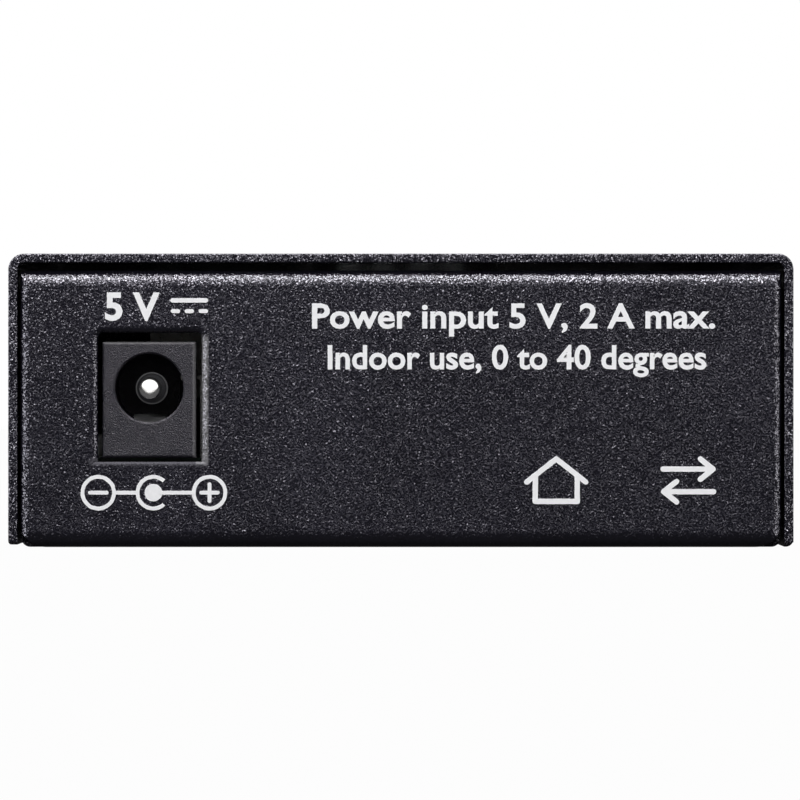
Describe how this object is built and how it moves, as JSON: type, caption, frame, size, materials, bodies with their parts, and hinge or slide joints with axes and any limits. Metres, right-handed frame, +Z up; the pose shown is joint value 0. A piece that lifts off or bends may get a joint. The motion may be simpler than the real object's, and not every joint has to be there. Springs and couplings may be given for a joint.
{
  "type": "fibre media converter",
  "caption": "Small folded steel box converter with a barrel power jack at one end and an optical module slot, copper port, light pipes and mode switches at the other.",
  "frame": {"origin": "middle of the footprint, on the plane the case rests on", "axes": "+Z up, +Y towards the port face, -Y towards the power face, +X to the right when looking at the power face"},
  "size_m": [0.073, 0.0944, 0.0273],
  "materials": {
    "case_black": "black fine-texture powder coat on folded steel",
    "screw_black": "blackened steel",
    "zinc_steel": "bright zinc plate",
    "board_green": "green solder mask on glass-epoxy board",
    "jack_black": "dark grey moulded plastic",
    "nickel": "bright nickel plate",
    "nickel_sheet": "nickel-plated folded sheet",
    "spring_steel": "tinned spring strip",
    "connector_black": "black glass-filled plastic",
    "gold": "gold-flashed contact alloy",
    "switch_black": "black moulded plastic",
    "slider_white": "white moulded plastic",
    "clear_guide": "clear polished plastic",
    "led_white": "white diode body",
    "chip_black": "moulded package with tinned legs",
    "ferrite": "dark grey ferrite and resin",
    "can_aluminium": "bare aluminium can",
    "fuse_green": "green resettable fuse",
    "resistor_black": "black glazed chip",
    "ceramic_tan": "tan ceramic chip"
  },
  "bodies": {
    "case_and_board": {"base_tray": "case_black", "top_cover": "case_black", "cover_screws": "screw_black", "pcb_standoffs": "zinc_steel", "pcb_screws": "zinc_steel", "circuit_board": "board_green", "dc_jack_housing": "jack_black", "dc_jack_centre_pin": "nickel", "dc_jack_sleeve_spring": "nickel", "dc_jack_switch_contact": "nickel", "sfp_cage": "nickel_sheet", "sfp_emi_fingers": "spring_steel", "sfp_connector_housing": "connector_black", "sfp_connector_contacts": "gold", "rj45_housing": "connector_black", "rj45_shield": "nickel_sheet", "rj45_contacts": "gold", "dip_switch_housing": "switch_black", "dip_switch_base": "switch_black", "dip_switch_contacts": "nickel", "light_pipes": "clear_guide", "status_leds": "led_white", "converter_chip": "chip_black", "eeprom_chip": "chip_black", "lan_transformer": "chip_black", "buck_regulator": "chip_black", "clock_crystal": "zinc_steel", "power_inductor": "ferrite", "input_capacitor": "can_aluminium", "output_capacitor": "can_aluminium", "input_fuse": "fuse_green", "chip_resistors": "resistor_black", "chip_capacitors": "ceramic_tan"},
    "slider_1": {"dip_slider_1": "slider_white"},
    "slider_2": {"dip_slider_2": "slider_white"},
    "slider_3": {"dip_slider_3": "slider_white"},
    "slider_4": {"dip_slider_4": "slider_white"}
  },
  "joints": [
    {"name": "slider_1_throw", "type": "slide", "parent": "case_and_board", "child": "slider_1", "axis": [0, 0, 1], "range_m": [0, 0.0015]},
    {"name": "slider_2_throw", "type": "slide", "parent": "case_and_board", "child": "slider_2", "axis": [0, 0, 1], "range_m": [0, 0.0015]},
    {"name": "slider_3_throw", "type": "slide", "parent": "case_and_board", "child": "slider_3", "axis": [0, 0, 1], "range_m": [0, 0.0015]},
    {"name": "slider_4_throw", "type": "slide", "parent": "case_and_board", "child": "slider_4", "axis": [0, 0, 1], "range_m": [0, 0.0015]}
  ]
}
